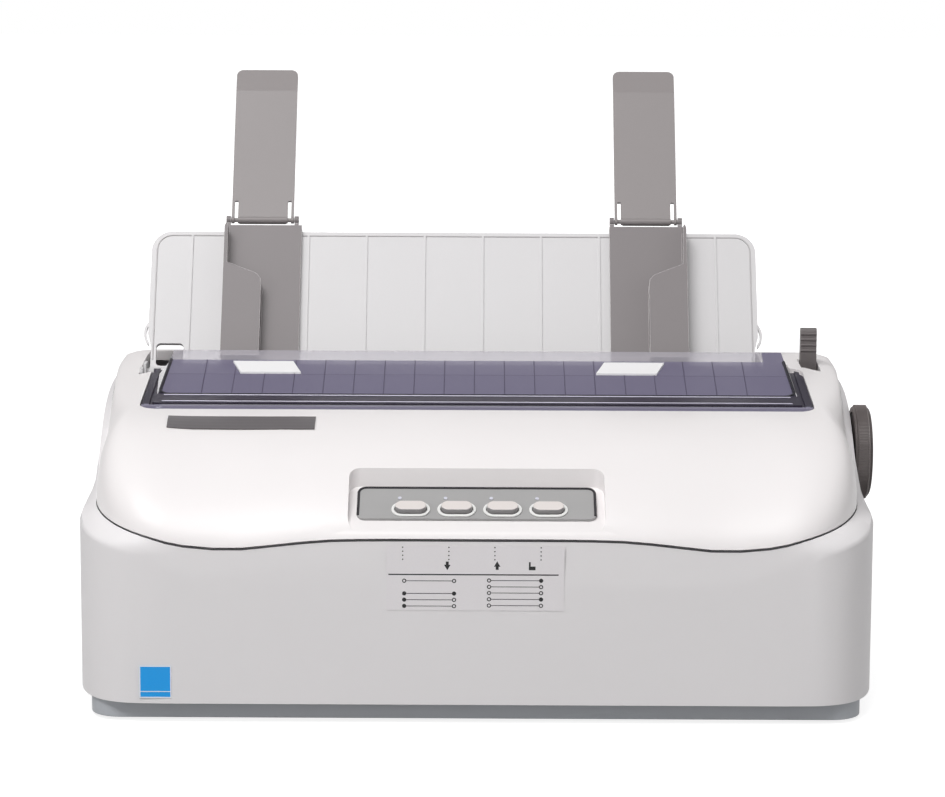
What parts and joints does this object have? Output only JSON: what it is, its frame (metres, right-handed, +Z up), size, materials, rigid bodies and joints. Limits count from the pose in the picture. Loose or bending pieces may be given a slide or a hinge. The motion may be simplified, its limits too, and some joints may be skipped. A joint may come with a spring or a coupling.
{
  "type": "dot matrix printer",
  "caption": "Desktop impact printer with a rounded two-tone case, a smoked lid, a platen knob, a small button panel and a rear sheet guide with folding flaps",
  "frame": {"origin": "centre of the bounding box in X and Y, at the height of the feet's undersides", "axes": "+Z up, the control panel and label side faces -Y, the platen knob is on the +X side"},
  "size_m": [0.4254, 0.3122, 0.3154],
  "materials": {
    "base_tray": "fine grain",
    "rubber_feet": "matte",
    "lower_case": "fine grain",
    "upper_cover": "fine grain",
    "control_panel": "satin",
    "button_bezels": "satin",
    "indicator_lights": "clear lens",
    "button_1": "satin",
    "button_2": "satin",
    "button_3": "satin",
    "button_4": "satin",
    "badge_plate": "satin print",
    "legend_label": "printed film",
    "rating_label": "printed film",
    "smoked_lid": "tinted clear",
    "lid_tabs": "satin",
    "hinge_pins": "turned",
    "chassis_pan": "zinc plated",
    "left_side_frame": "zinc plated",
    "right_side_frame": "zinc plated",
    "platen_roller": "ground",
    "platen_shaft": "turned",
    "platen_knob": "satin",
    "platen_gear": "moulded",
    "idler_gear": "moulded",
    "feed_pinion": "machined",
    "feed_motor": "satin",
    "pinch_rollers": "ground",
    "paper_ramp": "satin",
    "paper_trough": "satin",
    "tear_bar": "clear",
    "carriage_rod": "ground",
    "carriage_rail": "zinc plated",
    "carriage": "moulded",
    "print_head": "cast",
    "drive_belt": "toothed",
    "drive_pulley": "machined",
    "carriage_motor": "satin",
    "idler_pulley": "machined",
    "ribbon_cartridge": "moulded",
    "ribbon_knob": "moulded",
    "gap_lever": "moulded",
    "release_lever": "satin",
    "lever_pin": "turned",
    "tractor_shaft": "turned",
    "tractor_idler": "moulded",
    "tractor_rod": "turned",
    "left_tractor": "moulded",
    "right_tractor": "moulded",
    "left_tractor_door": "moulded",
    "right_tractor_door": "moulded",
    "main_board": "resin board",
    "power_supply": "satin",
    "rear_sockets": "moulded",
    "power_switch": "moulded",
    "sheet_guide": "fine grain",
    "left_edge_guide": "fine grain",
    "right_edge_guide": "fine grain",
    "left_flap": "fine grain",
    "right_flap": "fine grain"
  },
  "bodies": {
    "chassis": {"base_tray": "base_tray", "rubber_feet": "rubber_feet", "lower_case": "lower_case", "upper_cover": "upper_cover", "control_panel": "control_panel", "button_bezels": "button_bezels", "indicator_lights": "indicator_lights", "badge_plate": "badge_plate", "legend_label": "legend_label", "rating_label": "rating_label", "hinge_pins": "hinge_pins", "chassis_pan": "chassis_pan", "left_side_frame": "left_side_frame", "right_side_frame": "right_side_frame", "feed_motor": "feed_motor", "paper_ramp": "paper_ramp", "paper_trough": "paper_trough", "tear_bar": "tear_bar", "carriage_rod": "carriage_rod", "carriage_rail": "carriage_rail", "drive_belt": "drive_belt", "carriage_motor": "carriage_motor", "ribbon_cartridge": "ribbon_cartridge", "lever_pin": "lever_pin", "tractor_rod": "tractor_rod", "main_board": "main_board", "power_supply": "power_supply", "rear_sockets": "rear_sockets"},
    "lid": {"smoked_lid": "smoked_lid", "lid_tabs": "lid_tabs"},
    "platen": {"platen_roller": "platen_roller", "platen_shaft": "platen_shaft", "platen_knob": "platen_knob", "platen_gear": "platen_gear"},
    "idler": {"idler_gear": "idler_gear"},
    "pinion": {"feed_pinion": "feed_pinion"},
    "tractor_idler_wheel": {"tractor_idler": "tractor_idler"},
    "tractor_drive": {"tractor_shaft": "tractor_shaft"},
    "pinch": {"pinch_rollers": "pinch_rollers"},
    "print_carriage": {"carriage": "carriage", "print_head": "print_head"},
    "belt_drive_pulley": {"drive_pulley": "drive_pulley"},
    "belt_idler_pulley": {"idler_pulley": "idler_pulley"},
    "ribbon_winder": {"ribbon_knob": "ribbon_knob"},
    "head_gap_lever": {"gap_lever": "gap_lever"},
    "paper_release_lever": {"release_lever": "release_lever"},
    "tractor_left": {"left_tractor": "left_tractor"},
    "tractor_right": {"right_tractor": "right_tractor"},
    "tractor_left_door": {"left_tractor_door": "left_tractor_door"},
    "tractor_right_door": {"right_tractor_door": "right_tractor_door"},
    "rocker": {"power_switch": "power_switch"},
    "rear_sheet_guide": {"sheet_guide": "sheet_guide"},
    "edge_left": {"left_edge_guide": "left_edge_guide"},
    "edge_right": {"right_edge_guide": "right_edge_guide"},
    "flap_left": {"left_flap": "left_flap"},
    "flap_right": {"right_flap": "right_flap"},
    "key_1": {"button_1": "button_1"},
    "key_2": {"button_2": "button_2"},
    "key_3": {"button_3": "button_3"},
    "key_4": {"button_4": "button_4"}
  },
  "joints": [
    {"name": "lid_hinge", "type": "hinge", "parent": "chassis", "child": "lid", "pos_m": [-0.00415, 0.02872, 0.151], "axis": [-1, 0, 0], "range_deg": [0, 60]},
    {"name": "sheet_guide_tilt", "type": "hinge", "parent": "chassis", "child": "rear_sheet_guide", "pos_m": [-0.00415, 0.05072, 0.15], "axis": [-1, 0, 0], "range_deg": [0, 28]},
    {"name": "left_edge_slide", "type": "slide", "parent": "rear_sheet_guide", "child": "edge_left", "axis": [1, 0, 0], "range_m": [-0.034, 0.055]},
    {"name": "right_edge_slide", "type": "slide", "parent": "rear_sheet_guide", "child": "edge_right", "axis": [1, 0, 0], "range_m": [-0.1, 0.034]},
    {"name": "left_flap_fold", "type": "hinge", "parent": "edge_left", "child": "flap_left", "pos_m": [-0.00415, 0.09946, 0.23215], "axis": [1, 0, 0], "range_deg": [0, 138]},
    {"name": "right_flap_fold", "type": "hinge", "parent": "edge_right", "child": "flap_right", "pos_m": [-0.00415, 0.09946, 0.23215], "axis": [1, 0, 0], "range_deg": [0, 138]},
    {"name": "platen_turn", "type": "hinge", "parent": "chassis", "child": "platen", "pos_m": [-0.00415, -0.00728, 0.117], "axis": [1, 0, 0], "continuous": true},
    {"name": "idler_turn", "type": "hinge", "parent": "chassis", "child": "idler", "pos_m": [-0.00415, -0.01408, 0.07845], "axis": [1, 0, 0], "continuous": true},
    {"name": "pinion_turn", "type": "hinge", "parent": "chassis", "child": "pinion", "pos_m": [-0.00415, 0.00212, 0.06485], "axis": [1, 0, 0], "continuous": true},
    {"name": "tractor_idler_turn", "type": "hinge", "parent": "chassis", "child": "tractor_idler_wheel", "pos_m": [-0.00415, 0.03021, 0.117], "axis": [1, 0, 0], "continuous": true},
    {"name": "tractor_turn", "type": "hinge", "parent": "chassis", "child": "tractor_drive", "pos_m": [-0.00415, 0.06771, 0.117], "axis": [1, 0, 0], "continuous": true},
    {"name": "pinch_turn", "type": "hinge", "parent": "chassis", "child": "pinch", "pos_m": [-0.00415, 0.00848, 0.10123], "axis": [1, 0, 0], "continuous": true},
    {"name": "carriage_travel", "type": "slide", "parent": "chassis", "child": "print_carriage", "axis": [1, 0, 0], "range_m": [0, 0.22]},
    {"name": "drive_pulley_turn", "type": "hinge", "parent": "chassis", "child": "belt_drive_pulley", "pos_m": [-0.16815, -0.08729, 0.0895], "axis": [0, 0, 1], "continuous": true},
    {"name": "idler_pulley_turn", "type": "hinge", "parent": "chassis", "child": "belt_idler_pulley", "pos_m": [0.13185, -0.08729, 0.0895], "axis": [0, 0, 1], "continuous": true},
    {"name": "ribbon_turn", "type": "hinge", "parent": "chassis", "child": "ribbon_winder", "pos_m": [-0.13415, -0.07928, 0.119], "axis": [0, 0, 1], "continuous": true},
    {"name": "gap_lever_turn", "type": "hinge", "parent": "chassis", "child": "head_gap_lever", "pos_m": [-0.00415, -0.05729, 0.092], "axis": [-1, 0, 0], "range_deg": [0, 12]},
    {"name": "release_turn", "type": "hinge", "parent": "chassis", "child": "paper_release_lever", "pos_m": [-0.00415, 0.06171, 0.125], "axis": [1, 0, 0], "range_deg": [0, 22]},
    {"name": "left_tractor_slide", "type": "slide", "parent": "chassis", "child": "tractor_left", "axis": [1, 0, 0], "range_m": [-0.03, 0.05]},
    {"name": "right_tractor_slide", "type": "slide", "parent": "chassis", "child": "tractor_right", "axis": [1, 0, 0], "range_m": [-0.05, 0.03]},
    {"name": "left_tractor_door_turn", "type": "hinge", "parent": "tractor_left", "child": "tractor_left_door", "pos_m": [-0.13665, -0.15729, 0.1235], "axis": [0, -1, 0], "range_deg": [0, 80]},
    {"name": "right_tractor_door_turn", "type": "hinge", "parent": "tractor_right", "child": "tractor_right_door", "pos_m": [0.10335, -0.15729, 0.1235], "axis": [0, 1, 0], "range_deg": [0, 80]},
    {"name": "switch_rock", "type": "hinge", "parent": "chassis", "child": "rocker", "pos_m": [-0.00415, 0.12372, 0.04], "axis": [1, 0, 0], "range_deg": [-16, 0]},
    {"name": "button_1_press", "type": "slide", "parent": "chassis", "child": "key_1", "axis": [0, 0.4695, -0.8829], "range_m": [0, 0.0012], "stiffness_N_per_m": 250},
    {"name": "button_2_press", "type": "slide", "parent": "chassis", "child": "key_2", "axis": [0, 0.4695, -0.8829], "range_m": [0, 0.0012], "stiffness_N_per_m": 250},
    {"name": "button_3_press", "type": "slide", "parent": "chassis", "child": "key_3", "axis": [0, 0.4695, -0.8829], "range_m": [0, 0.0012], "stiffness_N_per_m": 250},
    {"name": "button_4_press", "type": "slide", "parent": "chassis", "child": "key_4", "axis": [0, 0.4695, -0.8829], "range_m": [0, 0.0012], "stiffness_N_per_m": 250}
  ],
  "couplings": [
    {"joint": "idler_turn", "follows": "platen_turn", "ratio": -1.6},
    {"joint": "pinion_turn", "follows": "platen_turn", "ratio": 4},
    {"joint": "tractor_idler_turn", "follows": "platen_turn", "ratio": -1.7778},
    {"joint": "tractor_turn", "follows": "platen_turn", "ratio": 1},
    {"joint": "pinch_turn", "follows": "platen_turn", "ratio": -2.6667},
    {"joint": "drive_pulley_turn", "follows": "carriage_travel", "rad_per_m": -141.84},
    {"joint": "idler_pulley_turn", "follows": "carriage_travel", "rad_per_m": -141.84}
  ]
}
